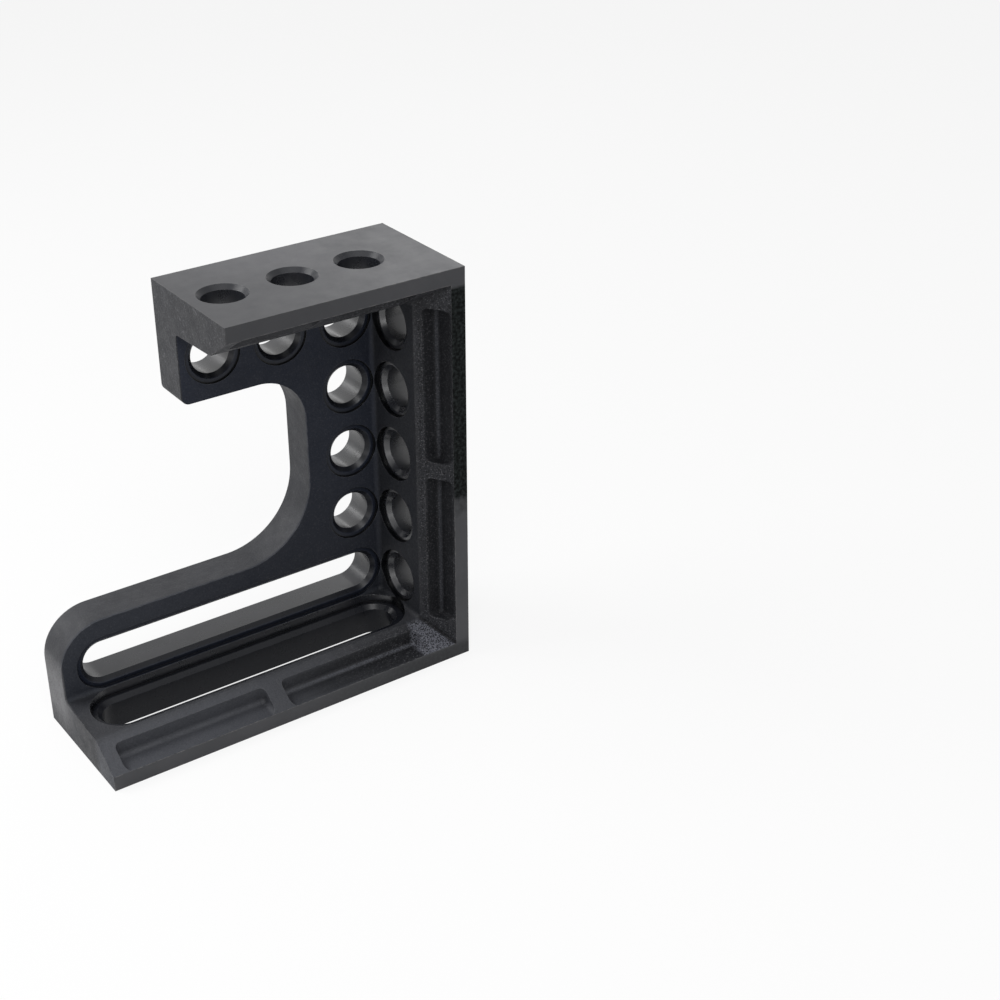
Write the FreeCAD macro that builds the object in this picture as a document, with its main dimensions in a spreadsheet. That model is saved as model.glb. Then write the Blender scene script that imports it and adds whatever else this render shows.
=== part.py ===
"""Cast-iron angle plate for a modular fixturing table.

One casting: a C-shaped web stands across the back of three flanges (base, upright, top).  Bores and
slots of one size sit on one grid, so bolts and stops reach the plate from every side.  The flanges
end at the front in a narrow machined lip, with a cast bevel and relief pockets behind it.

Frame: millimetres, +Z up, +X from the open end towards the upright flange, +Y towards the web.
The origin is the middle of the base's footprint.
"""
import FreeCAD, Part
import math
import os
import re

import Sketcher

NODE = "angle_plate"

# Driving sizes: alias, value (mm, or degrees for the draft), meaning.
SIZES = (
    ("overall_length", "280", "open end of the base to the upright's outer face"),
    ("overall_height", "300", "underside of the base to the top face"),
    ("overall_depth", "100", "lip to the web's outer face"),
    ("top_length", "175", "open end of the top flange to the upright's outer face"),
    ("web_thickness", "28.5", "web across the back"),
    ("flange_thickness", "26.5", "base, upright and top flange, where the bevel starts"),
    ("flange_draft", "3", "cast draft of the flanges, thicker towards the web"),
    ("base_arm_height", "83", "web above the underside, along the base"),
    ("column_width", "84", "web beside the upright's outer face"),
    ("top_arm_height", "80", "web below the top face"),
    ("arm_end_radius", "33", "upper corner of the base arm's open end"),
    ("throat_lower_radius", "55", "throat corner between base arm and column"),
    ("throat_upper_radius", "35", "throat corner between column and top arm"),
    ("top_arm_end_radius", "6", "lower corner of the top arm's open end"),
    ("root_radius", "4", "cast fillet where web and flanges meet"),
    ("lip_width", "11", "machined lip round the open front"),
    ("bevel_depth", "23", "cast bevel behind the lip, measured along the depth"),
    ("pocket_depth", "18", "relief pockets, measured from the lip"),
    ("pocket_end_land", "9.5", "open end of a flange to its first pocket"),
    ("pocket_base_land", "24", "upright's lip to the nearest pocket of the base and top flange"),
    ("pocket_upright_land", "18.5", "base's or top flange's lip to the nearest pocket of the upright"),
    ("pocket_rib", "12.5", "rib between the two pockets of a flange"),
    ("pocket_radius", "4", "cast fillets in the pockets"),
    ("bore_diameter", "28", "system bores, and the width of the slots"),
    ("bore_pitch", "50", "grid of the bores"),
    ("bore_edge", "50", "outer faces to the first bore centres"),
    ("rim_chamfer", "3", "chamfer on the rims of bores and slots"),
    ("base_rim_break", "0.5", "chamfer on the base slot's rim in the underside"),
    ("seat_diameter", "40", "machined seat round the inner rim of every bore and slot"),
    ("base_seat_front", "24", "base slot's centre line to the front side of its seat"),
    ("seat_thickness", "25.5", "metal between seat and outer face in upright and top flange"),
    ("web_seat_depth", "1.3", "depth of those seats in the web"),
    ("base_seat_thickness", "23", "metal between seat and outer face in the base"),
    ("web_slot_end", "31", "open end of the base to the web slot's first centre"),
    ("base_slot_end", "31", "open end of the base to the base slot's first centre"),
)
TOLERANCE = 1e-4        # for finding edges by their place

# Places worked out from the driving sizes; the body's X runs from LEFT to RIGHT, its Y from FRONT to BACK.
LEFT = "(-overall_length / 2)"
RIGHT = "(overall_length / 2)"
FRONT = "(-overall_depth / 2)"
BACK = "(overall_depth / 2)"
TOP = "overall_height"
TOP_LEFT = f"({RIGHT} - top_length)"
WEB_FACE = f"({BACK} - web_thickness)"
WEB_WALL = "(web_thickness - web_seat_depth)"       # metal between seat and outer face in the web
FLANGE_AT_BACK = "(flange_thickness + (overall_depth - bevel_depth) * tan(flange_draft))"
FLANGE_AT_WEB = f"({FLANGE_AT_BACK} - web_thickness * tan(flange_draft))"
SEAT_REACH = f"({FLANGE_AT_WEB} + root_radius)"     # seat cutters end clear of the drafted faces
COLUMN = f"({RIGHT} - bore_edge)"                   # bores in the web's column, last bores of the rows
SLOT_LEVEL = "bore_edge"                            # web slot and lowest upright bore
UPPER_ROW = f"({TOP} - bore_edge)"

# Bores that fit on the grid, counted from the corner of upright and top; a hundredth of a pitch is slack.
TOP_BORES = "floor((top_length - bore_edge - seat_diameter / 2) / bore_pitch + 0.01) + 1"
COLUMN_BORES = f"floor(({UPPER_ROW} - {SLOT_LEVEL}) / bore_pitch + 0.01)"      # above the web slot
UPRIGHT_BORES = f"floor(({UPPER_ROW} - bore_edge) / bore_pitch + 0.01) + 1"

doc = FreeCAD.newDocument("AnglePlate")
sheet = doc.addObject("Spreadsheet::Sheet", "Sizes")
for row, (alias, value, meaning) in enumerate(SIZES, start=1):
    sheet.set(f"A{row}", meaning)
    sheet.set(f"B{row}", value)
    sheet.setAlias(f"B{row}", alias)
doc.recompute()

body = doc.addObject("PartDesign::Body", NODE)
body.Label = NODE


def bound(expression):
    """The expression with its size names looked up in the sheet, as setExpression wants it."""
    names = "|".join(alias for alias, _, _ in SIZES)
    return re.sub(rf"\b({names})\b", r"Sizes.\1", expression)


def value_of(expression):
    """Number that an expression of size names stands for."""
    return float(sheet.evalExpression(bound(expression)))


def origin_feature(role):
    """Origin plane or axis of the body."""
    return next(feature for feature in body.Origin.OriginFeatures if feature.Role == role)


def new_sketch(name, role, x="0", y="0", offset="0"):
    """Sketch on an origin plane, its own origin moved by x and y in the plane and off it by offset."""
    sketch = body.newObject("Sketcher::SketchObject", name)
    sketch.AttachmentSupport = (origin_feature(role), [""])
    sketch.MapMode = "FlatFace"
    for axis, expression in (("x", x), ("y", y), ("z", offset)):
        sketch.setExpression(f".AttachmentOffset.Base.{axis}", bound(expression))
    return sketch


def dimension(sketch, kind, name, expression, *where):
    """Named dimension of a sketch, bound to an expression of driving sizes."""
    index = sketch.addConstraint(Sketcher.Constraint(kind, *where, value_of(expression)))
    sketch.renameConstraint(index, name)
    sketch.setExpression(f"Constraints.{name}", bound(expression))


def place_point(sketch, name, geometry, vertex, x, y):
    """Hold one sketch point at x, y from the sketch's origin."""
    dimension(sketch, "DistanceX", f"{name}_x", x, -1, 1, geometry, vertex)
    dimension(sketch, "DistanceY", f"{name}_y", y, -1, 1, geometry, vertex)


def polygon(sketch, corners, name="p"):
    """Closed outline through the given corners, each a pair of expressions."""
    points = [FreeCAD.Vector(value_of(x), value_of(y), 0) for x, y in corners]
    first = sketch.GeometryCount
    count = len(points)
    for index, start in enumerate(points):
        sketch.addGeometry(Part.LineSegment(start, points[(index + 1) % count]), False)
    for index in range(count):
        following = first + (index + 1) % count
        sketch.addConstraint(Sketcher.Constraint("Coincident", first + index, 2, following, 1))
    for index, (x, y) in enumerate(corners):
        place_point(sketch, f"{name}{index}", first + index, 1, x, y)


def rectangle(sketch, left, right, low, high, name="r"):
    """Closed rectangle with its four sides given as expressions."""
    polygon(sketch, ((left, low), (right, low), (right, high), (left, high)), name)


def slot(sketch, centre_1, centre_2, radius):
    """Round-ended slot between two centres, each a pair of expressions, on one horizontal line."""
    x_1, y_1 = (value_of(part) for part in centre_1)
    x_2, y_2 = (value_of(part) for part in centre_2)
    reach = value_of(radius)
    quarter = math.pi / 2
    up = FreeCAD.Vector(0, 0, 1)
    left = Part.ArcOfCircle(Part.Circle(FreeCAD.Vector(x_1, y_1, 0), up, reach), quarter, 3 * quarter)
    right = Part.ArcOfCircle(Part.Circle(FreeCAD.Vector(x_2, y_2, 0), up, reach), -quarter, quarter)
    low = Part.LineSegment(FreeCAD.Vector(x_1, y_1 - reach, 0), FreeCAD.Vector(x_2, y_2 - reach, 0))
    high = Part.LineSegment(FreeCAD.Vector(x_2, y_2 + reach, 0), FreeCAD.Vector(x_1, y_1 + reach, 0))
    for geometry in (left, low, right, high):
        sketch.addGeometry(geometry, False)
    for start, end in ((0, 1), (1, 2), (2, 3), (3, 0)):
        sketch.addConstraint(Sketcher.Constraint("Tangent", start, 2, end, 1))
    sketch.addConstraint(Sketcher.Constraint("Equal", 0, 2))
    place_point(sketch, "left", 0, 3, *centre_1)
    place_point(sketch, "right", 2, 3, *centre_2)
    dimension(sketch, "Radius", "end_radius", radius, 0)


def extrude(kind, name, sketch, length, reverse=False):
    """Pad or Pocket of a sketch over a length given by the driving sizes."""
    feature = body.newObject(f"PartDesign::{kind}", name)
    feature.Profile = sketch
    feature.setExpression("Length", bound(length))
    feature.Reversed = reverse
    doc.recompute()
    return feature


def dress(kind, name, key, expression, edges):
    """Fillet or Chamfer of the given edges of the present body."""
    base = body.Tip
    feature = body.newObject(f"PartDesign::{kind}", name)
    feature.Base = (base, edges)
    feature.setExpression(key, bound(expression))
    doc.recompute()
    return feature


def edges_where(chosen):
    """Names of the present body's edges for which chosen(edge) holds."""
    return [f"Edge{i}" for i, edge in enumerate(body.Tip.Shape.Edges, start=1) if chosen(edge)]


def place(*coordinates):
    """Point from three expressions."""
    return FreeCAD.Vector(*(value_of(coordinate) for coordinate in coordinates))


def edges_meeting_at(points):
    """Edges with an end on one of the given points."""
    return edges_where(lambda edge: any(vertex.Point.isEqual(point, TOLERANCE)
                                        for vertex in edge.Vertexes for point in points))


def edges_along_depth(x, z):
    """Edges that run along the depth through x, z."""
    line = place(x, "0", z)
    return edges_where(lambda edge: all(abs(vertex.X - line.x) < TOLERANCE and
                                        abs(vertex.Z - line.z) < TOLERANCE for vertex in edge.Vertexes))


def web():
    """C-shaped web with its rounded throat and arm ends."""
    inner = f"({RIGHT} - column_width)"
    under = f"({TOP} - top_arm_height)"
    outline = new_sketch("WebOutline", "XZ_Plane", offset=FRONT)
    polygon(outline, ((LEFT, "0"), (RIGHT, "0"), (RIGHT, TOP), (TOP_LEFT, TOP), (TOP_LEFT, under),
                      (inner, under), (inner, "base_arm_height"), (LEFT, "base_arm_height")))
    extrude("Pad", "Web", outline, "web_thickness")
    dress("Fillet", "ArmEnd", "Radius", "arm_end_radius", edges_along_depth(LEFT, "base_arm_height"))
    dress("Fillet", "ThroatLower", "Radius", "throat_lower_radius",
          edges_along_depth(inner, "base_arm_height"))
    dress("Fillet", "ThroatUpper", "Radius", "throat_upper_radius", edges_along_depth(inner, under))
    dress("Fillet", "TopArmEnd", "Radius", "top_arm_end_radius", edges_along_depth(TOP_LEFT, under))


def flanges():
    """Base, upright and top flange: one section with lip, bevel and draft, turned to each side."""
    section = ((FRONT, "0"), (FRONT, "lip_width"), (f"{FRONT} + bevel_depth", "flange_thickness"),
               (BACK, FLANGE_AT_BACK), (BACK, "0"))
    base = new_sketch("BaseSection", "YZ_Plane", offset=LEFT)
    polygon(base, section)
    extrude("Pad", "BaseFlange", base, "overall_length")
    upright = new_sketch("UprightSection", "XY_Plane")
    polygon(upright, [(f"{RIGHT} - {thickness}", depth) for depth, thickness in section])
    extrude("Pad", "UprightFlange", upright, "overall_height")
    top = new_sketch("TopSection", "YZ_Plane", offset=TOP_LEFT)
    polygon(top, [(depth, f"{TOP} - {thickness}") for depth, thickness in section])
    extrude("Pad", "TopFlange", top, "top_length")


def roots():
    """Cast fillets where web and flanges meet, and in the two inner corners."""
    corners = [place(f"{RIGHT} - {FLANGE_AT_WEB}", WEB_FACE, FLANGE_AT_WEB),
               place(f"{RIGHT} - {FLANGE_AT_WEB}", WEB_FACE, f"{TOP} - {FLANGE_AT_WEB}")]
    dress("Fillet", "Roots", "Radius", "root_radius", edges_meeting_at(corners))


def pocket_pair(name, start, end, place_box, floor_corner):
    """Two relief pockets between start and end of a flange, with the rib between them.

    place_box gives a pocket's four sides in the front view, floor_corner the point at one of its ends
    where floor, back wall and end wall meet.
    """
    middle = f"(({start}) + ({end})) / 2"
    spans = ((start, f"{middle} - pocket_rib / 2"), (f"{middle} + pocket_rib / 2", end))
    outline = new_sketch(f"{name}PocketOutline", "XZ_Plane", offset=BACK)
    for index, (near, far) in enumerate(spans):
        rectangle(outline, *place_box(near, far), name=f"pocket{index}")
    extrude("Pocket", f"{name}Pockets", outline, "pocket_depth")
    corners = [floor_corner(along) for span in spans for along in span]
    dress("Fillet", f"{name}PocketRoots", "Radius", "pocket_radius", edges_meeting_at(corners))


def pockets():
    """Relief pockets in the bevels: floor level with the lip, open to the front and to the inside."""
    open_side = "2 * flange_thickness"
    wall = f"{FRONT} + pocket_depth"
    right_end = f"{RIGHT} - lip_width - pocket_base_land"
    pocket_pair("Base", f"{LEFT} + pocket_end_land", right_end,
                lambda near, far: (near, far, "lip_width", open_side),
                lambda x: place(x, wall, "lip_width"))
    pocket_pair("Upright", "lip_width + pocket_upright_land", f"{TOP} - lip_width - pocket_upright_land",
                lambda near, far: (f"{RIGHT} - {open_side}", f"{RIGHT} - lip_width", near, far),
                lambda z: place(f"{RIGHT} - lip_width", wall, z))
    pocket_pair("Top", f"{TOP_LEFT} + pocket_end_land", right_end,
                lambda near, far: (near, far, f"{TOP} - {open_side}", f"{TOP} - lip_width"),
                lambda x: place(x, wall, f"{TOP} - lip_width"))


def bore(name, role, axis, outer, inward, wall, x="0", y="0", offset="0"):
    """One bore turned about a sketch axis: chamfered outer rim, bore, chamfered inner rim, seat.

    outer is where the outer face lies along that axis, inward the sense, 1 or -1, of going in, and
    wall the metal between outer face and seat.
    """
    depths = ("0", "rim_chamfer", f"{wall} - rim_chamfer", wall, wall, SEAT_REACH)
    radii = ("bore_diameter / 2 + rim_chamfer", "bore_diameter / 2", "bore_diameter / 2",
             "bore_diameter / 2 + rim_chamfer", "seat_diameter / 2", "seat_diameter / 2")
    along = [f"{outer} + ({inward}) * ({depth})" for depth in depths]
    corners = [(along[0], "0"), *zip(along, radii), (along[-1], "0")]
    if axis == "V_Axis":
        corners = [(radius, level) for level, radius in corners]
    profile = new_sketch(f"{name}Profile", role, x, y, offset)
    polygon(profile, corners)
    groove = body.newObject("PartDesign::Groove", name)
    groove.Profile = profile
    groove.ReferenceAxis = (profile, [axis])
    groove.Angle = 360
    doc.recompute()
    return groove


def row(name, feature, role, count):
    """The feature repeated on the bore grid, towards the negative end of an origin axis, count in all."""
    pattern = body.newObject("PartDesign::LinearPattern", name)
    pattern.Originals = [feature]
    pattern.Direction = (origin_feature(role), [""])
    pattern.Reversed = True
    pattern.Mode = "Spacing"
    pattern.setExpression("Offset", bound("bore_pitch"))
    pattern.setExpression("Occurrences", bound(count))
    body.Tip = pattern
    doc.recompute()
    return pattern


def bores():
    """System bores of web, upright and top flange, repeated on the grid."""
    web_bore = bore("WebBore", "YZ_Plane", "H_Axis", BACK, -1, WEB_WALL, y=UPPER_ROW, offset=COLUMN)
    row("WebRow", web_bore, "X_Axis", TOP_BORES)
    row("WebColumn", web_bore, "Z_Axis", COLUMN_BORES)
    upright_bore = bore("UprightBore", "XZ_Plane", "H_Axis", RIGHT, -1, "seat_thickness", y=UPPER_ROW)
    row("UprightRow", upright_bore, "Z_Axis", UPRIGHT_BORES)
    top_bore = bore("TopBore", "XZ_Plane", "V_Axis", TOP, -1, "seat_thickness", x=COLUMN)
    row("TopRow", top_bore, "X_Axis", TOP_BORES)


def slot_cut(name, role, ends, seat, outer_rim, offsets, lift):
    """Slot on the bore grid: opening through the wall, machined seat inside, chamfer on both rims.

    ends are the slot's two centres in the sketch, seat the seat's two centres and its radius, and
    outer_rim the chamfer of the rim in the outer face.  The sketches of opening and seat lie offsets
    off the origin plane, and lift(centre, offset) gives a centre's place in the body.
    """
    radius = "bore_diameter / 2"
    outer_offset, seat_offset, wall = offsets
    opening = new_sketch(f"{name}Outline", role, offset=outer_offset)
    slot(opening, *ends, radius)
    extrude("Pocket", name, opening, SEAT_REACH, reverse=True)
    outline = new_sketch(f"{name}SeatOutline", role, offset=seat_offset)
    slot(outline, *seat)
    extrude("Pocket", f"{name}Seat", outline, f"{SEAT_REACH} - {wall}", reverse=True)

    def rim(offset):
        line = Part.makeLine(*(lift(centre, offset) for centre in ends))

        def on_rim(edge):
            middle = edge.valueAt((edge.FirstParameter + edge.LastParameter) / 2)
            points = [middle, *(vertex.Point for vertex in edge.Vertexes)]
            return all(abs(line.distToShape(Part.Vertex(point))[0] - value_of(radius)) < TOLERANCE
                       for point in points)

        return edges_where(on_rim)

    dress("Chamfer", f"{name}OuterRim", "Size", outer_rim, rim(outer_offset))
    dress("Chamfer", f"{name}InnerRim", "Size", "rim_chamfer", rim(seat_offset))


def slots():
    """The long slots of the web and the base, ending below the column's bores."""
    web_ends = ((f"{LEFT} + web_slot_end", SLOT_LEVEL), (COLUMN, SLOT_LEVEL))
    slot_cut("WebSlot", "XZ_Plane", web_ends, (*web_ends, "seat_diameter / 2"), "rim_chamfer",
             (FRONT, f"{FRONT} + {WEB_WALL}", WEB_WALL),
             lambda centre, offset: place(centre[0], f"-({offset})", centre[1]))
    # The base slot's seat reaches farther to the front than to the web.
    seat_line = "(seat_diameter / 2 - base_seat_front) / 2"
    base_ends = ((f"{LEFT} + base_slot_end", "0"), (COLUMN, "0"))
    base_seat = (*((x, seat_line) for x, _ in base_ends), "(seat_diameter / 2 + base_seat_front) / 2")
    slot_cut("BaseSlot", "XY_Plane", base_ends, base_seat, "base_rim_break",
             ("0", "base_seat_thickness", "base_seat_thickness"),
             lambda centre, offset: place(centre[0], centre[1], offset))


def check():
    """Stop if any object failed or the casting isn't one valid solid."""
    failed = [item.Name for item in doc.Objects if {"Invalid", "Error"} & set(item.State)]
    if failed:
        raise RuntimeError(f"failed: {failed}")
    shape = body.Shape
    if shape.isNull() or not shape.isValid() or len(shape.Solids) != 1:
        raise RuntimeError(f"{body.Label} isn't one valid solid")


web()
flanges()
roots()
pockets()
bores()
slots()
check()
os.makedirs("parts", exist_ok=True)
body.Shape.exportStep(f"parts/{body.Label}.step")
print(body.Label, body.Shape.BoundBox, f"volume {body.Shape.Volume:.0f} mm3")
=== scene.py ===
from collections import namedtuple
from functools import reduce
import math
from types import SimpleNamespace

import bmesh
import bpy
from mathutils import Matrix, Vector


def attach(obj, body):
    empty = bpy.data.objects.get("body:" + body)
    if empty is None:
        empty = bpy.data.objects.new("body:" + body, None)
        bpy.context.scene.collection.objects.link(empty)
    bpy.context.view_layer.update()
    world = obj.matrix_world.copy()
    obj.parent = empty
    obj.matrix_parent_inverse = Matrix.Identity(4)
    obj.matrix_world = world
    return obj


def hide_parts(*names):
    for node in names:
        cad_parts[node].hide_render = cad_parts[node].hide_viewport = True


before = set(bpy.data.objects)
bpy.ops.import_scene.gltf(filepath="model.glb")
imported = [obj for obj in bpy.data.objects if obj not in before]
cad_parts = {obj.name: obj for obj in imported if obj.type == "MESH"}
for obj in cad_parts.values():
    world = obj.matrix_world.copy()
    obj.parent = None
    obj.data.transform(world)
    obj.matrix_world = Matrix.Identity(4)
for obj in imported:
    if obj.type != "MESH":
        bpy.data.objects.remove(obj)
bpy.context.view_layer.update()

NODE = "angle_plate"
BODY = "root"
MM = 0.001

# Sizes of the plate that its finishes follow, in millimetres.
BACK_FACE = 50.0
FRONT_FACE = -50.0
OUTER_FACE = 140.0
TOP_FACE = 300.0
BASE_FACE = 0.0
BORE_PITCH = 50.0
WEB_BORES = ((-10, 250), (40, 250), (90, 250), (90, 200), (90, 150), (90, 100))
UPRIGHT_BORES = (250, 200, 150, 100, 50)
TOP_BORES = (-10, 40, 90)
BORES_LEFT_OF_GRID = 10.0   # the web's columns of bores, from the multiples of the pitch
SEAT_REACH = 20.1           # seats round the bores and slots, from their centre lines
WALL = 34.0                 # deepest cutter of a bore, from its outer face
SLOT_SPAN = (-109.0, 90.0)
SLOT_LEVEL = 50.0
BASE_SEAT_LINE = -2.0       # the base slot's seat reaches farther to the front
BASE_SEAT_REACH = 22.1
BEVEL_LEAN = 0.674          # how far the bevels lean inwards for each unit towards the web
ON_PLANE = 0.02             # a face this close to a machined plane lies on it

# The casting's mesh.
WELD = 0.002 * MM
FLAT = math.radians(0.3)
SHARP = math.radians(25)
EDGE_BREAK = 0.45 * MM
CAST, MACHINED, BORED = range(3)

# Fade: low up to off, high from on, and even in between.
Fade = namedtuple("Fade", "off on low high", defaults=(0.0, 1.0))
# Pattern: noise of that scale, in features for each metre.
Pattern = namedtuple("Pattern", "scale detail roughness distortion", defaults=(0.55, 0.0))
# Tint: 8-bit display colour, and how strongly it covers where its mask is 1.
Tint = namedtuple("Tint", "shade strength", defaults=(1.0,))


def srgb(red, green, blue):
    """Linear colour from 8-bit display values."""
    def linear(value):
        share = value / 255
        return share / 12.92 if share <= 0.04045 else ((share + 0.055) / 1.055) ** 2.4
    return (linear(red), linear(green), linear(blue), 1.0)


class Graph:
    """Short hand for wiring a node tree."""

    def __init__(self, tree):
        self.tree = tree

    def add(self, kind, **settings):
        """New node with its sockets and properties set."""
        node = self.tree.nodes.new(kind)
        for key, value in settings.items():
            if key in node.inputs:
                node.inputs[key].default_value = value
            else:
                setattr(node, key, value)
        return node

    def link(self, source, target):
        """A constant or another node's output into a socket."""
        if isinstance(source, (int, float, tuple)):
            target.default_value = source
        else:
            self.tree.links.new(source, target)

    def place(self):
        """Object coordinates, and the same as separate axes."""
        place = self.add("ShaderNodeTexCoord").outputs["Object"]
        axes = self.add("ShaderNodeSeparateXYZ")
        self.link(place, axes.inputs[0])
        return place, axes.outputs

    def noise(self, place, pattern):
        node = self.add("ShaderNodeTexNoise", Scale=pattern.scale, Detail=pattern.detail,
                        Roughness=pattern.roughness, Distortion=pattern.distortion)
        self.link(place, node.inputs["Vector"])
        return node.outputs["Fac"]

    def fade(self, value, fade):
        node = self.add("ShaderNodeMapRange", **{"From Min": fade.off, "From Max": fade.on,
                                                 "To Min": fade.low, "To Max": fade.high})
        self.link(value, node.inputs["Value"])
        return node.outputs["Result"]

    def speckle(self, place, pattern, fade):
        """Noise with its contrast set by a fade."""
        return self.fade(self.noise(place, pattern), fade)

    def zone(self, axis, fade):
        """Fade along an axis, its ends in millimetres."""
        return self.fade(axis, fade._replace(off=fade.off * MM, on=fade.on * MM))

    def math(self, operation, first, second):
        node = self.add("ShaderNodeMath", operation=operation)
        self.link(first, node.inputs[0])
        self.link(second, node.inputs[1])
        return node.outputs[0]

    def both(self, *masks):
        """Where all the masks are: their product."""
        return reduce(lambda first, second: self.math("MULTIPLY", first, second), masks)

    def either(self, *masks):
        """Where any of the masks is: the largest."""
        return reduce(lambda first, second: self.math("MAXIMUM", first, second), masks)

    def along(self, first, second, share):
        """First value and a share of the second."""
        return self.math("ADD", first, self.both(second, share))

    def mix(self, factor, first, second):
        node = self.add("ShaderNodeMix", data_type="RGBA")
        for socket, source in zip((node.inputs[0], node.inputs[6], node.inputs[7]), (factor, first, second)):
            self.link(source, socket)
        return node.outputs[2]

    def tinted(self, colour, masks, tints):
        """Colour with each tint laid over it in turn, where the mask of the same name is."""
        for name, tint in tints.items():
            colour = self.mix(self.both(getattr(masks, name), tint.strength), colour, srgb(*tint.shade))
        return colour

    def bump(self, height, strength, distance, normal):
        node = self.add("ShaderNodeBump", Strength=strength, Distance=distance)
        self.link(height, node.inputs["Height"])
        self.link(normal, node.inputs["Normal"])
        return node.outputs["Normal"]


# ---------------------------------------------------------------- what the finishes share

EDGE_SAMPLES = 4
EDGE_TURN = Fade(0.995, 0.9)            # cosine between the plain and the rounded normal
EDGE_SCUFFS = Pattern(180, 5)
EDGE_GAPS = Fade(0.4, 0.6)
CREVICE_SAMPLES = 6
CREVICE_SHADE = Fade(0.9, 0.5)
REVERSED = Fade(0.0, 1.0, 1.0, 0.0)


def rounded(graph):
    """Normal that runs round a sharp edge as a small broken edge does."""
    return graph.add("ShaderNodeBevel", samples=EDGE_SAMPLES, Radius=EDGE_BREAK).outputs["Normal"]


def edge_wear(graph, place, radius):
    """Mask that is 1 on sharp edges and breaks up along them, for worn edges that also carry a painted
    highlight.
    """
    bevel = graph.add("ShaderNodeBevel", samples=EDGE_SAMPLES, Radius=radius)
    plain = graph.add("ShaderNodeNewGeometry")
    turn = graph.add("ShaderNodeVectorMath", operation="DOT_PRODUCT")
    graph.link(bevel.outputs["Normal"], turn.inputs[0])
    graph.link(plain.outputs["Normal"], turn.inputs[1])
    edge = graph.fade(turn.outputs["Value"], EDGE_TURN)
    return graph.both(edge, graph.speckle(place, EDGE_SCUFFS, EDGE_GAPS))


def crevice(graph, reach):
    """Mask that is 1 in narrow inner corners, where shade is painted."""
    node = graph.add("ShaderNodeAmbientOcclusion", samples=CREVICE_SAMPLES, only_local=True, Distance=reach)
    return graph.fade(node.outputs["AO"], CREVICE_SHADE)


def from_bore(graph, first, second):
    """Distance from the nearest bore's centre line, for two axes that follow the bores' grid."""
    half = BORE_PITCH * MM / 2
    squares = []
    for value in (first, second):
        wrapped = graph.add("ShaderNodeMath", operation="WRAP")
        for socket, source in zip(wrapped.inputs, (value, half, -half)):
            graph.link(source, socket)
        squares.append(graph.both(wrapped.outputs[0], wrapped.outputs[0]))
    return graph.math("POWER", graph.math("ADD", *squares), 0.5)


def new_material(name):
    """Empty material, its graph and its output node."""
    material = bpy.data.materials.new(name)
    material.use_nodes = True
    material.node_tree.nodes.clear()
    graph = Graph(material.node_tree)
    return material, graph, graph.add("ShaderNodeOutputMaterial")


def surface(graph, output, colour, roughness, gloss, normal):
    """Principled surface from its wired parts."""
    shader = graph.add("ShaderNodeBsdfPrincipled")
    graph.link(colour, shader.inputs["Base Color"])
    graph.link(roughness, shader.inputs["Roughness"])
    graph.link(gloss, shader.inputs["Specular IOR Level"])
    graph.link(normal, shader.inputs["Normal"])
    graph.link(shader.outputs[0], output.inputs["Surface"])


# ---------------------------------------------------------------- casting skin
# Where its stretches fade in and out, in millimetres along the axis named.

BEHIND_LIP = Fade(-24, -30)             # Y
COARSER = Fade(30, 100)                 # X
UPRIGHT_POCKET = Fade(95.8, 97.5)       # X + lean * Y
TOP_END_X = Fade(-33.8, -34.6)
TOP_END_Z = Fade(200, 210)
BASE_END_X = Fade(-138.5, -139.5)
LOW_END_Y = Fade(12, -4)
HOLLOW_FRONT_Y = Fade(-27.5, -25.5)
HOLLOW_BACK_Y = Fade(23.6, 22.2)
HOLLOW_FLOOR_Z = Fade(27.6, 29.2)
WEB_FACE_Y = Fade(19.0, 20.8)
WEB_BLUE_Z = Fade(60, 260, 0.25, 0.7)
WEB_LEFT_X = Fade(10, -70)
WEB_LOW_Z = Fade(110, 80)
ON_BASE_Z = Fade(34, 31)
BASE_LEFT_X = Fade(60, -60)
BASE_POCKET = Fade(44.2, 42.5)          # Z - lean * Y
BASE_POCKET_LEFT_X = Fade(-10, 30)
BASE_POCKET_RIGHT_X = Fade(103, 100)
BY_WALL_Y = Fade(-35.2, -33.6)
UPRIGHT_ROOT_X = Fade(126.6, 127.6)
UPRIGHT_ROOT_SHARE = 0.3
BASE_ROOT_Z = Fade(13.4, 12.4)
BASE_ROOT_X = Fade(-20, 50, 0.15, 0.8)
# Where the painted floor reflection on the base's end lies.
FOOT_Y = Fade(8, 26)
FOOT_TOP_Z = Fade(66, 42)
FOOT_SOLE_Z = Fade(0, 20)
CORNER_X = Fade(100, 103)
CORNER_Z = Fade(29, 25)
CORNER_EDGE = Fade(139.5, 137.5)        # X + Z
MITRE_NEAR = Fade(137.6, 139.0)         # X + Z
MITRE_FAR = Fade(142.4, 141.0)          # X + Z
MITRE_TOP_Z = Fade(34, 30)

CAST_CLOUDS = Pattern(28, 5)
CAST_CLOUD_SPREAD = Fade(0.35, 0.7)
SAND_GRAIN = Pattern(1050, 2, 0.5)
ROOT_GRAIN = Fade(0.3, 0.55, 0.35, 0.8)
DUST_GRAIN = Fade(0.38, 0.55)
PALE_GRAIN = Fade(0.56, 0.7)
FLECK_GRAIN = Pattern(380, 3, 0.6)
FLECK_SPREAD = Fade(0.6, 0.7)
PIT_GRAIN = Pattern(800, 2, 0.5)
PIT_SPREAD = Fade(0.46, 0.36)
SPECKS_WHEN_COARSE = Fade(0.0, 1.0, 0.1, 0.55)
SPECKS_AT_END = 0.3
SPECKS_IN_POCKET = Fade(0.0, 1.0, 1.0, 0.45)
CAST_EDGE = 0.7 * MM
CAST_CREVICE = 4.0 * MM

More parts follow.
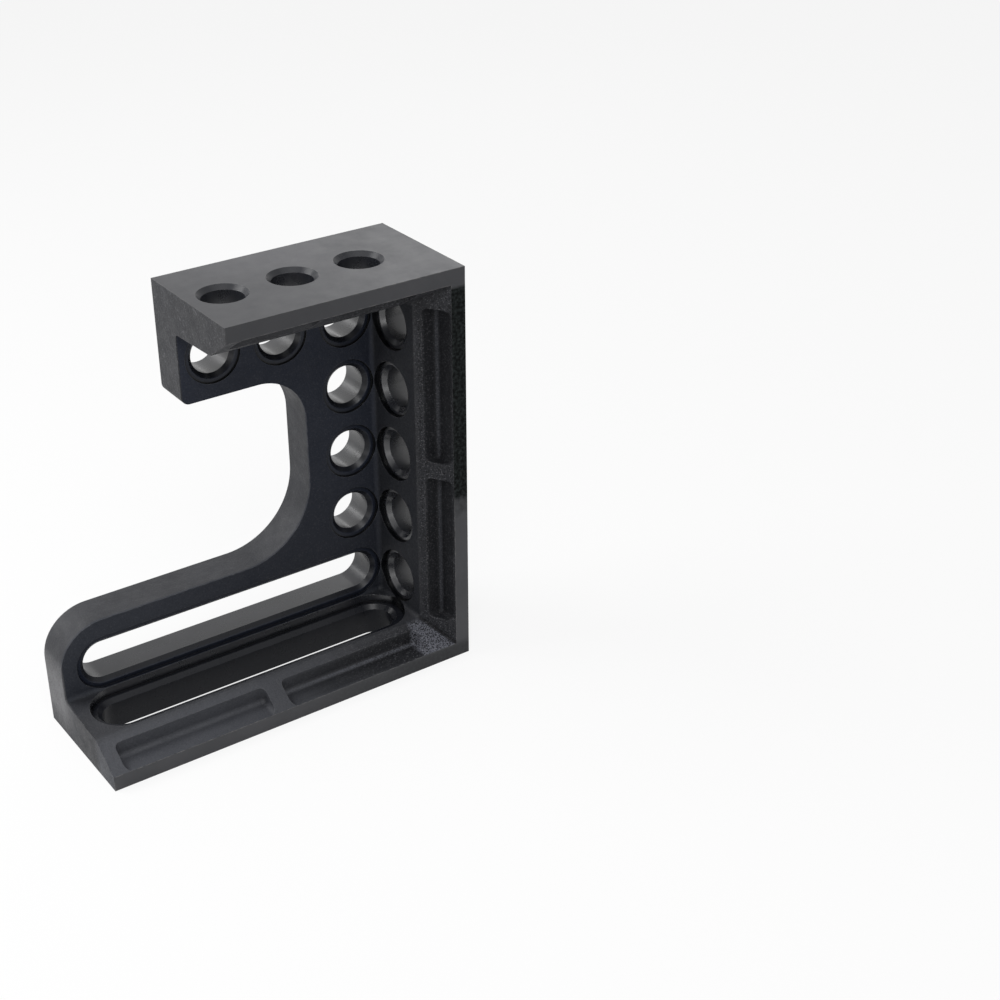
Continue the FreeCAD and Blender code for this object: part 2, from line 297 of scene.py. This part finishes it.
CAST_DARK = (36, 37, 41)
CAST_PALE = (50, 51, 55)
CAST_TINTS = {
    # Painted shade: the inside of the C is darkened where the web and flanges shade it.
    "hollow": Tint((27, 29, 34), 0.8),
    # Painted shade: the top arm's open end face is darkened.
    "top_end": Tint((26, 27, 31), 0.45),
    # Painted shade: the open ends darker towards the front, where less light falls.
    "low_end": Tint((21, 22, 26), 0.5),
    # Painted cool light: the web's inner face turns bluish, more so higher up.
    "blue_web": Tint((31, 37, 51)),
    # Painted shade: the bevels darker towards the upright, away from the light on the left. The same stretch
    # has coarser grain.
    "coarse": Tint((22, 23, 26), 0.35),
    # Painted shade in the upright's pockets.
    "upright_pocket": Tint((13, 14, 16), 0.55),
    # Painted light: the base's bevel and pockets paler towards the left, where the light falls.
    "left_base": Tint((72, 74, 80), 0.6),
    # Painted shade in the base's pockets.
    "base_pocket": Tint((14, 16, 19), 0.6),
    # Painted light: the lower left of the web's face paler, as lit by light bounced from the floor.
    "low_web": Tint((52, 55, 62), 0.5),
    # Painted highlight: a pale line along the pockets' concave roots, broken up by the grain.
    "pocket_root": Tint((98, 100, 108)),
    # Painted reflection: a pale patch of reflected floor low on the back of the base's end.
    "scuffed_foot": Tint((120, 120, 122), 0.6),
    # Painted shade in the crease where the bevels meet.
    "mitre": Tint((9, 10, 12), 0.75),
    # Paler grain on the land by the mitre.
    "dusty_corner": Tint((120, 122, 132), 0.7),
    "pale_sand": Tint((112, 112, 116)),
    "flecks": Tint((118, 118, 122), 0.3),
    "pits": Tint((7, 7, 9), 1.6),
    # Wear and painted highlight: pale, broken-up sharp edges.
    "worn_edge": Tint((110, 110, 112), 0.5),
    # Painted shade in narrow inner corners.
    "crevice": Tint((7, 8, 11), 0.8),
}

CAST_ROUGH_GRAIN = Pattern(120, 4)
CAST_ROUGHNESS = Fade(0.3, 0.7, 0.5, 0.66)
CAST_GLOSS = Fade(0.0, 1.0, 0.34, 0.05)     # from plain to dull
DULL_WHEN_COARSE = 0.5
DULL_IN_HOLLOW = 0.45
DULL_IN_POCKET = 0.7
SAND_FINE = Pattern(700, 4, 0.6)
SAND_WIDE = Pattern(220, 3)
SAND_WIDE_SHARE = 1.2
SAND_STRENGTH = 0.6
SAND_HEIGHT = 0.45 * MM


def cast_masks(graph, place, x, y, z):
    """Masks of the casting skin's stretches and specks, many of them painted light and shade."""
    behind_lip = graph.zone(y, BEHIND_LIP)
    base_end = graph.zone(x, BASE_END_X)
    on_base = graph.both(behind_lip, graph.zone(z, ON_BASE_Z))
    across_mitre = graph.along(x, z, 1.0)
    grain = graph.noise(place, SAND_GRAIN)

    masks = SimpleNamespace()
    # Coarser grain towards the upright, with painted shade over the same stretch.
    masks.coarse = graph.both(behind_lip, graph.zone(x, COARSER))
    # The upright's pockets behind its bevel, where shade is painted.
    masks.upright_pocket = graph.both(behind_lip, graph.zone(graph.along(x, y, BEVEL_LEAN), UPRIGHT_POCKET))
    # The top arm's open end, where shade is painted; it also places specks.
    masks.top_end = graph.both(graph.zone(x, TOP_END_X), graph.zone(z, TOP_END_Z))
    open_end = graph.either(base_end, masks.top_end)
    # Painted shade on the open ends, growing towards the front.
    masks.low_end = graph.both(open_end, graph.zone(y, LOW_END_Y))
    # Painted shade inside the C's hollow, away from its open end.
    masks.hollow = graph.both(graph.zone(y, HOLLOW_FRONT_Y), graph.zone(y, HOLLOW_BACK_Y),
                              graph.zone(z, HOLLOW_FLOOR_Z), graph.fade(open_end, REVERSED))
    web_face = graph.both(masks.hollow, graph.zone(y, WEB_FACE_Y))
    # Painted cool light on the web's inner face, growing upwards.
    masks.blue_web = graph.both(web_face, graph.zone(z, WEB_BLUE_Z))
    # Painted light on the lower left of the web's inner face.
    masks.low_web = graph.both(web_face, graph.zone(x, WEB_LEFT_X), graph.zone(z, WEB_LOW_Z))
    # Painted light on the base, growing towards the left.
    masks.left_base = graph.both(on_base, graph.zone(x, BASE_LEFT_X))
    # The base's pockets below its bevel, where shade is painted.
    masks.base_pocket = graph.both(on_base, graph.zone(graph.along(z, y, -BEVEL_LEAN), BASE_POCKET),
                                   graph.zone(x, BASE_POCKET_LEFT_X), graph.zone(x, BASE_POCKET_RIGHT_X))

    # Painted highlight along the roots of the pockets by their walls.
    by_wall = graph.both(behind_lip, graph.zone(y, BY_WALL_Y))
    upright_root = graph.both(by_wall, graph.zone(x, UPRIGHT_ROOT_X), UPRIGHT_ROOT_SHARE)
    base_root = graph.both(by_wall, graph.zone(z, BASE_ROOT_Z), graph.zone(x, BASE_ROOT_X))
    masks.pocket_root = graph.both(graph.either(upright_root, base_root), graph.fade(grain, ROOT_GRAIN))
    # Painted reflection of the floor on the base's end face.
    masks.scuffed_foot = graph.both(base_end, graph.zone(y, FOOT_Y), graph.zone(z, FOOT_TOP_Z),
                                    graph.zone(z, FOOT_SOLE_Z))
    # Painted shade along the crease where the upright's and base's bevels meet.
    masks.mitre = graph.both(graph.zone(across_mitre, MITRE_NEAR), graph.zone(across_mitre, MITRE_FAR),
                             behind_lip, graph.zone(z, MITRE_TOP_Z))
    masks.dusty_corner = graph.both(masks.coarse, graph.zone(x, CORNER_X), graph.zone(z, CORNER_Z),
                                    graph.zone(across_mitre, CORNER_EDGE), graph.fade(grain, DUST_GRAIN))

    specks = graph.either(graph.fade(masks.coarse, SPECKS_WHEN_COARSE), graph.both(open_end, SPECKS_AT_END))
    specks = graph.both(specks, graph.fade(masks.upright_pocket, SPECKS_IN_POCKET))
    masks.pale_sand = graph.both(graph.fade(grain, PALE_GRAIN), specks)
    masks.flecks = graph.both(graph.speckle(place, FLECK_GRAIN, FLECK_SPREAD), open_end)
    masks.pits = graph.both(graph.speckle(place, PIT_GRAIN, PIT_SPREAD), specks)
    masks.worn_edge = edge_wear(graph, place, CAST_EDGE)
    masks.crevice = crevice(graph, CAST_CREVICE)
    return masks


def cast_finish():
    """Blackened casting skin: sand grain, pale specks, coarser on the upright's bevel and in the corner, with
    painted shade, light, highlights and a painted floor reflection in its stretches.
    """
    material, graph, output = new_material("blackened_cast_skin")
    place, (x, y, z) = graph.place()
    masks = cast_masks(graph, place, x, y, z)
    clouds = graph.speckle(place, CAST_CLOUDS, CAST_CLOUD_SPREAD)
    colour = graph.tinted(graph.mix(clouds, srgb(*CAST_DARK), srgb(*CAST_PALE)), masks, CAST_TINTS)
    dull = graph.either(graph.both(masks.coarse, DULL_WHEN_COARSE), graph.both(masks.hollow, DULL_IN_HOLLOW),
                        graph.both(masks.upright_pocket, DULL_IN_POCKET))
    sand = graph.along(graph.noise(place, SAND_FINE), graph.noise(place, SAND_WIDE), SAND_WIDE_SHARE)
    surface(graph, output, colour, graph.speckle(place, CAST_ROUGH_GRAIN, CAST_ROUGHNESS),
            graph.fade(dull, CAST_GLOSS), graph.bump(sand, SAND_STRENGTH, SAND_HEIGHT, rounded(graph)))
    return material


# ---------------------------------------------------------------- machined faces
# Where their stretches fade in and out, in millimetres along the axis named.

ON_LIP_Y = Fade(-49.2, -49.7)
TOP_LIP_Z = Fade(287, 290)
TOP_LIP_X = Fade(100, -20, 0.2, 0.5)
ON_TOP_Z = Fade(299.2, 299.7)
TOP_LEFT = Fade(50, -40)                # X + a share of Y
TOP_LEFT_LEAN = 0.7
TOP_BACK_Y = Fade(0, 40)
TOP_BACK_LEFT_X = Fade(-30, 30)
TOP_BACK_RIGHT_X = Fade(100, 70)
BLACK_LIP_X = Fade(128.3, 129.2)
BLACK_LIP_TOP_Z = Fade(288, 285.5)
BLACK_LIP_FOOT_Z = Fade(132, 146)
BLACK_LIP_WANDER = Pattern(90, 3)
BLACK_LIP_WANDER_REACH = 30.0 * MM
# The base's lip, where the rough black is painted shade, growing towards the right, away from the light on
# the left.
BASE_LIP_Z = Fade(13.5, 8.5)
BASE_LIP_X = Fade(-30, 100, 0.0, 0.5)

MACHINED_CLOUDS = Pattern(22, 6, 0.6, 0.4)
MACHINED_CLOUD_SPREAD = Fade(0.35, 0.7)
MACHINED_EDGE = 1.2 * MM
MACHINED_DARK = (46, 47, 51)
MACHINED_PALE = (58, 58, 62)
MACHINED_TINTS = {
    # Wear and painted highlight: pale, broken-up sharp edges.
    "worn_edge": Tint((132, 130, 128), 0.7),
    # Painted shade: the top flange's front lip darker, more so towards the left.
    "top_lip": Tint((28, 29, 33)),
    # Painted shade: the top face darker towards the front left.
    "top_left": Tint((34, 35, 39), 0.75),
    # Painted shade: the whole top face a little darker.
    "on_top": Tint((34, 35, 39), 0.25),
    # Painted sheen: the top face paler towards the back, as a reflection of bright light behind.
    "top_back": Tint((74, 74, 78), 0.5),
}
BLACK_MOTTLE = Pattern(420, 3, 0.6)
BLACK_MOTTLE_SPREAD = Fade(0.42, 0.66)
# Colours of the rough black stretch. On the base's lip they are painted shade.
ROUGH_BLACK_DARK = (9, 11, 11)
ROUGH_BLACK_PALE = (42, 46, 46)

SATIN_GRAIN = Pattern(60, 6, 0.65)
SATIN = Fade(0.3, 0.7, 0.34, 0.46)
ROUGH_BLACK_ROUGHNESS = 0.85
MACHINED_GLOSS = Fade(0.0, 1.0, 0.5, 0.08)      # from satin to rough black
MACHINED_GRAIN = Pattern(1400, 3, 0.5)
MACHINED_GRAIN_STRENGTH = 0.12
FINE_GRAIN_HEIGHT = 0.1 * MM


def machined_masks(graph, place, x, y, z):
    """Masks of the machined faces' stretches, among them painted shade, sheen and highlights."""
    masks = SimpleNamespace()
    masks.worn_edge = edge_wear(graph, place, MACHINED_EDGE)
    on_lip = graph.zone(y, ON_LIP_Y)
    # Painted shade on the top flange's front lip.
    masks.top_lip = graph.both(on_lip, graph.zone(z, TOP_LIP_Z), graph.zone(x, TOP_LIP_X))
    # The top face, where shade and sheen are painted.
    masks.on_top = graph.zone(z, ON_TOP_Z)
    # Painted shade on the top face, growing towards the front left.
    masks.top_left = graph.both(masks.on_top, graph.zone(graph.along(x, y, TOP_LEFT_LEAN), TOP_LEFT))
    # Painted sheen on the back of the top face.
    masks.top_back = graph.both(masks.on_top, graph.zone(y, TOP_BACK_Y), graph.zone(x, TOP_BACK_LEFT_X),
                                graph.zone(x, TOP_BACK_RIGHT_X))
    wandering = graph.along(z, graph.noise(place, BLACK_LIP_WANDER), BLACK_LIP_WANDER_REACH)
    upright_lip = graph.both(on_lip, graph.zone(x, BLACK_LIP_X), graph.zone(z, BLACK_LIP_TOP_Z),
                             graph.zone(wandering, BLACK_LIP_FOOT_Z))
    # Painted shade on the right of the base's lip.
    base_lip = graph.both(on_lip, graph.zone(z, BASE_LIP_Z), graph.zone(x, BASE_LIP_X))
    masks.rough_black = graph.either(upright_lip, base_lip)
    return masks


def machined_finish():
    """Blackened machined face: smooth satin, worn edges with a painted highlight, painted shade and sheen on
    the top face and top lip, a rough black stretch on the upright's lip, and the same black as painted shade
    on the right of the base's lip.
    """
    material, graph, output = new_material("blackened_machined")
    place, (x, y, z) = graph.place()
    masks = machined_masks(graph, place, x, y, z)
    clouds = graph.speckle(place, MACHINED_CLOUDS, MACHINED_CLOUD_SPREAD)
    satin = graph.tinted(graph.mix(clouds, srgb(*MACHINED_DARK), srgb(*MACHINED_PALE)), masks, MACHINED_TINTS)
    mottle = graph.speckle(place, BLACK_MOTTLE, BLACK_MOTTLE_SPREAD)
    rough_black = graph.mix(mottle, srgb(*ROUGH_BLACK_DARK), srgb(*ROUGH_BLACK_PALE))
    roughness = graph.either(graph.speckle(place, SATIN_GRAIN, SATIN),
                             graph.both(masks.rough_black, ROUGH_BLACK_ROUGHNESS))
    fine = graph.noise(place, MACHINED_GRAIN)
    surface(graph, output, graph.mix(masks.rough_black, satin, rough_black), roughness,
            graph.fade(masks.rough_black, MACHINED_GLOSS),
            graph.bump(fine, MACHINED_GRAIN_STRENGTH, FINE_GRAIN_HEIGHT, rounded(graph)))
    return material


# ---------------------------------------------------------------- bores and slots
# Where their stretches fade in and out, in millimetres along the axis named.

WEB_SEAT_FRONT_Y = Fade(20.3, 21.0)
WEB_SEAT_BACK_Y = Fade(23.6, 23.1)
WEB_RIM_BACK_Y = Fade(26.4, 25.6)
BASE_SLOT_Z = Fade(24.5, 23.5)
TOP_RIM_Z = Fade(296.4, 297.2)
WEB_SLOT_Z = Fade(70, 66)
WEB_SLOT_Y = Fade(25, 27, 0.0, 0.5)
ABOVE_WEB_SLOT_Z = Fade(75, 79)
WEB_OUTLINE = Fade(18.9, 19.5)          # from the bore's centre line
UPRIGHT_SEAT_OUTER_X = Fade(117.2, 116.2)
UPRIGHT_SEAT_INNER_X = Fade(109.5, 110.5)
UPRIGHT_OUTLINE = Fade(18.6, 19.4)      # from the bore's centre line

BORED_CLOUDS = Pattern(40, 4)
BORED_CLOUD_SPREAD = Fade(0.35, 0.7)
BORED_EDGE = 0.6 * MM
BORED_CREVICE = 3.0 * MM
BORED_DARK = (26, 28, 33)
BORED_PALE = (38, 39, 44)
BORED_TINTS = {
    # Painted shade on the web bores' rims and in the base's slot.
    "dark_rim": Tint((18, 20, 26), 0.6),
    # Painted cool light: the web's seats bluish, as on the web's face.
    "web_seat": Tint((31, 36, 48), 0.7),
    "top_rim": Tint((46, 47, 51), 0.8),
    # Wear and painted highlight: pale, broken-up sharp edges.
    "worn_edge": Tint((112, 114, 120), 0.22),
    # Painted shade in narrow inner corners.
    "crevice": Tint((3, 4, 6), 0.95),
    # Painted shade: a black ring where the seats' shallow walls are shaded.
    "outline": Tint((3, 4, 6), 0.9),
}
BORED_ROUGH_GRAIN = Pattern(90, 4)
BORED_ROUGHNESS = Fade(0.3, 0.7, 0.24, 0.34)
BORED_GLOSS = Fade(0.0, 1.0, 0.9, 0.22)     # from bright to dull
BORED_GRAIN = Pattern(900, 2, 0.5)
BORED_GRAIN_STRENGTH = 0.05


def bored_masks(graph, place, x, y, z):
    """Masks of the bores' and slots' stretches, among them painted shade, cool light and highlights."""
    masks = SimpleNamespace()
    seat_front = graph.zone(y, WEB_SEAT_FRONT_Y)
    web_rim = graph.both(seat_front, graph.zone(y, WEB_RIM_BACK_Y))
    base_slot = graph.zone(z, BASE_SLOT_Z)
    # Painted shade on the web bores' rims and in the base's slot.
    masks.dark_rim = graph.either(web_rim, base_slot)
    # Painted cool light on the web's seats.
    masks.web_seat = graph.both(seat_front, graph.zone(y, WEB_SEAT_BACK_Y))
    masks.top_rim = graph.zone(z, TOP_RIM_Z)
    from_web_bore = from_bore(graph, graph.math("ADD", x, BORES_LEFT_OF_GRID * MM), z)
    # Painted shade on the walls of the seats round the web's and upright's bores.
    web_outline = graph.both(web_rim, graph.zone(from_web_bore, WEB_OUTLINE), graph.zone(z, ABOVE_WEB_SLOT_Z))
    upright_outline = graph.both(graph.zone(x, UPRIGHT_SEAT_OUTER_X), graph.zone(x, UPRIGHT_SEAT_INNER_X),
                                 graph.zone(from_bore(graph, y, z), UPRIGHT_OUTLINE))
    masks.outline = graph.either(web_outline, upright_outline)
    web_slot = graph.both(graph.zone(z, WEB_SLOT_Z), graph.zone(y, WEB_SLOT_Y))
    masks.dull = graph.either(masks.dark_rim, masks.top_rim, web_slot, masks.outline)
    masks.worn_edge = edge_wear(graph, place, BORED_EDGE)
    masks.crevice = crevice(graph, BORED_CREVICE)
    return masks


def bored_finish():
    """Blackened bores, slots and seats: glossier, but dull on the web's rims and in the base's slot, with
    painted shade there, in crevices and on the seats' walls, painted cool light on the web's seats and
    painted highlights on worn edges.
    """
    material, graph, output = new_material("blackened_bores")
    place, (x, y, z) = graph.place()
    masks = bored_masks(graph, place, x, y, z)
    clouds = graph.speckle(place, BORED_CLOUDS, BORED_CLOUD_SPREAD)
    colour = graph.tinted(graph.mix(clouds, srgb(*BORED_DARK), srgb(*BORED_PALE)), masks, BORED_TINTS)
    fine = graph.noise(place, BORED_GRAIN)
    surface(graph, output, colour, graph.speckle(place, BORED_ROUGH_GRAIN, BORED_ROUGHNESS),
            graph.fade(masks.dull, BORED_GLOSS),
            graph.bump(fine, BORED_GRAIN_STRENGTH, FINE_GRAIN_HEIGHT, rounded(graph)))
    return material


# ---------------------------------------------------------------- the casting

def near_segment(first, second, span, level, reach):
    """True if (first, second) lies within reach of the line from span[0] to span[1] at level."""
    nearest = min(max(first, span[0]), span[1])
    return math.hypot(first - nearest, second - level) <= reach


def finish_of(face):
    """Which of the three finishes a face has."""
    corners = [vertex.co / MM for vertex in face.verts]

    def everywhere(holds):
        return all(holds(corner) for corner in corners)

    planes = ((0, OUTER_FACE), (1, BACK_FACE), (1, FRONT_FACE), (2, TOP_FACE), (2, BASE_FACE))
    if any(everywhere(lambda corner: abs(corner[axis] - level) < ON_PLANE) for axis, level in planes):
        return MACHINED
    for x, z in WEB_BORES:
        if everywhere(lambda c: c.y > BACK_FACE - WALL and math.hypot(c.x - x, c.z - z) <= SEAT_REACH):
            return BORED
    for z in UPRIGHT_BORES:
        if everywhere(lambda c: c.x > OUTER_FACE - WALL and math.hypot(c.y, c.z - z) <= SEAT_REACH):
            return BORED
    for x in TOP_BORES:
        if everywhere(lambda c: c.z > TOP_FACE - WALL and math.hypot(c.y, c.x - x) <= SEAT_REACH):
            return BORED
    in_web_slot = everywhere(lambda c: c.y > BACK_FACE - WALL
                             and near_segment(c.x, c.z, SLOT_SPAN, SLOT_LEVEL, SEAT_REACH))
    in_base_slot = everywhere(lambda c: c.z < WALL
                              and near_segment(c.x, c.y, SLOT_SPAN, BASE_SEAT_LINE, BASE_SEAT_REACH))
    return BORED if in_web_slot or in_base_slot else CAST


def casting():
    """The plate with merged faces, sharp edges marked and its three finishes."""
    shape = bmesh.new()
    shape.from_mesh(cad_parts[NODE].data)
    bmesh.ops.remove_doubles(shape, verts=shape.verts, dist=WELD)
    bmesh.ops.dissolve_limit(shape, angle_limit=FLAT, verts=shape.verts, edges=shape.edges)
    for face in shape.faces:
        face.material_index = finish_of(face)
        face.smooth = True
    for edge in shape.edges:
        edge.smooth = edge.calc_face_angle(0) <= SHARP
    mesh = bpy.data.meshes.new("angle_plate_casting")
    shape.to_mesh(mesh)
    shape.free()
    plate = bpy.data.objects.new("angle_plate_casting", mesh)
    bpy.context.scene.collection.objects.link(plate)
    for finish in (cast_finish(), machined_finish(), bored_finish()):
        mesh.materials.append(finish)
    weighted = plate.modifiers.new("WeightedNormals", "WEIGHTED_NORMAL")
    weighted.keep_sharp = True
    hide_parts(NODE)
    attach(plate, BODY)


# ---------------------------------------------------------------- studio

WHITE = (1.0, 1.0, 1.0, 1.0)
FLOOR_SIZE = 12.0
FLOOR_COLOUR = (0.86, 0.86, 0.86, 1.0)
FLOOR_WHITE_SEEN = 0.87         # share of plain white in the floor as the camera sees it
FLOOR_WHITE_REFLECTED = 0.5     # and as the metal reflects it
WORLD_LEVEL = 0.26

# Name, place, point aimed at, width, height and power of each lamp, in metres and watts.
LAMPS = (
    ("key_behind_left", (-0.95, 0.75, 1.15), (0.0, 0.0, 0.12), 1.0, 1.0, 17.5),
    ("overhead", (0.0, -0.1, 1.7), (0.0, 0.0, 0.15), 1.4, 1.4, 5.5),
    ("rim_behind_right", (1.05, 1.2, 0.85), (0.1, 0.0, 0.3), 0.45, 0.4, 0.75),
    ("fill_front_top", (-0.45, -1.0, 1.5), (-0.08, -0.05, 0.0), 0.7, 0.5, 9.5),
    ("fill_front_left", (-0.95, -0.75, 0.35), (-0.1, -0.05, 0.05), 0.5, 0.4, 1.2),
)

CAMERA_PLACE = (-0.46328, -0.92831, 0.71455)
CAMERA_TURN = (61.0937, 0.0049, -35.7125)
CAMERA_LENS = 62.795
CAMERA_SENSOR = 36.0
CAMERA_CLIP = (0.05, 60.0)


def reflected(graph, path):
    """1 for what the object reflects or lets through."""
    return graph.either(path.outputs["Is Glossy Ray"], path.outputs["Is Transmission Ray"])


def studio_floor():
    """Pale floor that shows white where nothing shades it."""
    mesh = bpy.data.meshes.new("studio_floor")
    shape = bmesh.new()
    bmesh.ops.create_grid(shape, x_segments=1, y_segments=1, size=FLOOR_SIZE)
    shape.to_mesh(mesh)
    shape.free()
    floor = bpy.data.objects.new("studio_floor", mesh)
    bpy.context.scene.collection.objects.link(floor)
    material, graph, output = new_material("studio_floor")
    diffuse = graph.add("ShaderNodeBsdfDiffuse", Color=FLOOR_COLOUR)
    white = graph.add("ShaderNodeEmission", Color=WHITE)
    path = graph.add("ShaderNodeLightPath")
    share = graph.either(graph.both(path.outputs["Is Camera Ray"], FLOOR_WHITE_SEEN),
                         graph.both(reflected(graph, path), FLOOR_WHITE_REFLECTED))
    mixed = graph.add("ShaderNodeMixShader")
    for socket, source in zip(mixed.inputs, (share, diffuse.outputs[0], white.outputs[0])):
        graph.link(source, socket)
    graph.link(mixed.outputs[0], output.inputs["Surface"])
    mesh.materials.append(material)


def world_light():
    """Soft grey light from all round, with a white background behind."""
    world = bpy.data.worlds.new("studio")
    bpy.context.scene.world = world
    world.use_nodes = True
    graph = Graph(world.node_tree)
    background = world.node_tree.nodes["Background"]
    path = graph.add("ShaderNodeLightPath")
    seen = graph.either(path.outputs["Is Camera Ray"], reflected(graph, path))
    graph.link(WHITE, background.inputs["Color"])
    graph.link(graph.fade(seen, Fade(0.0, 1.0, WORLD_LEVEL, 1.0)), background.inputs["Strength"])


def softbox(name, place, target, width, height, power):
    """Rectangular lamp aimed at a point."""
    lamp = bpy.data.lights.new(name, "AREA")
    lamp.shape = "RECTANGLE"
    lamp.size = width
    lamp.size_y = height
    lamp.energy = power
    box = bpy.data.objects.new(name, lamp)
    bpy.context.scene.collection.objects.link(box)
    box.location = place
    box.rotation_euler = (Vector(target) - Vector(place)).to_track_quat("-Z", "Y").to_euler()


def camera():
    """Camera looking down on the open side of the plate."""
    data = bpy.data.cameras.new("camera")
    data.sensor_width = CAMERA_SENSOR
    data.lens = CAMERA_LENS
    data.clip_start, data.clip_end = CAMERA_CLIP
    eye = bpy.data.objects.new("camera", data)
    bpy.context.scene.collection.objects.link(eye)
    eye.location = CAMERA_PLACE
    eye.rotation_euler = [math.radians(turn) for turn in CAMERA_TURN]
    bpy.context.scene.camera = eye


casting()
studio_floor()
world_light()
for lamp in LAMPS:
    softbox(*lamp)
camera()
bpy.context.scene.view_settings.view_transform = "Standard"
